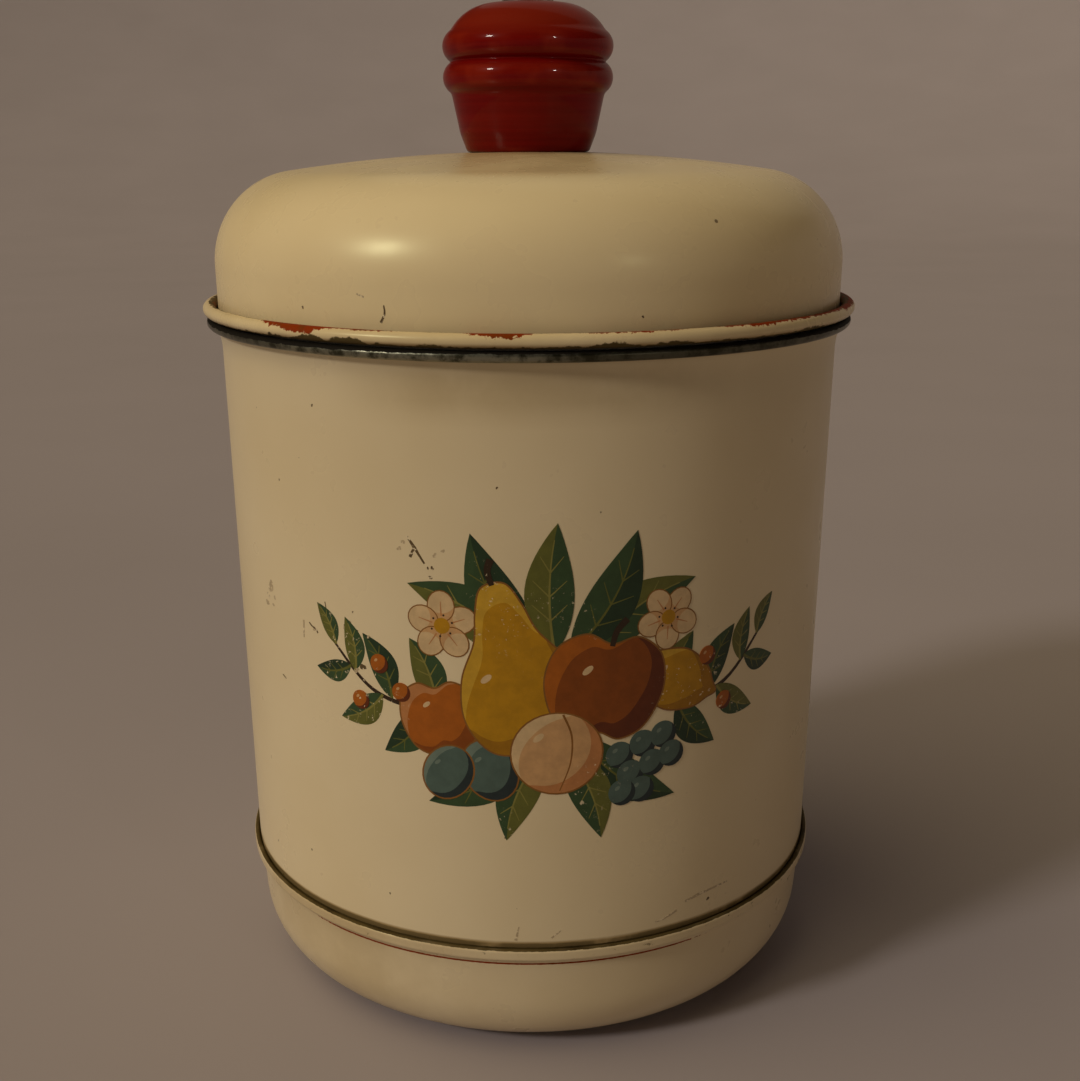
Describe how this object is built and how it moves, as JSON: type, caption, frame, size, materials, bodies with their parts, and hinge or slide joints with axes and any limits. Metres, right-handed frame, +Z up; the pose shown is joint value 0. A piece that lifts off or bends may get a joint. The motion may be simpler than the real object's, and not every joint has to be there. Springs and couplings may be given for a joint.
{
  "type": "lidded kitchen canister",
  "caption": "Round painted tin kitchen canister with a rounded bottom pan, a domed lift-off lid with a curled rim and a turned wooden knob, for keeping dry goods.",
  "frame": {"origin": "middle of the ring that the canister stands on, at the floor", "axes": "+Z up along the canister's axis, towards the knob; -Y to the decorated front"},
  "size_m": [0.1336, 0.1336, 0.2048],
  "materials": {
    "jar_paint": "aged cream enamel, satin, worn on the rims",
    "lid_paint": "aged cream enamel, satin, worn on the rim",
    "tinned_steel": "dull tinned steel",
    "knob_paint": "deep red gloss paint on turned wood",
    "plated_hardware": "worn nickel plate"
  },
  "bodies": {
    "jar": {"body_wall": "jar_paint", "bottom_pan": "jar_paint"},
    "lid": {"lid_dome": "lid_paint", "lid_collar": "tinned_steel", "knob": "knob_paint", "knob_washer": "plated_hardware", "knob_screw": "plated_hardware", "lid_washer": "plated_hardware", "knob_nut": "plated_hardware"}
  },
  "joints": [
    {"name": "lid_lift", "type": "slide", "parent": "jar", "child": "lid", "axis": [0, 0, 1], "range_m": [0, 0.12]}
  ]
}
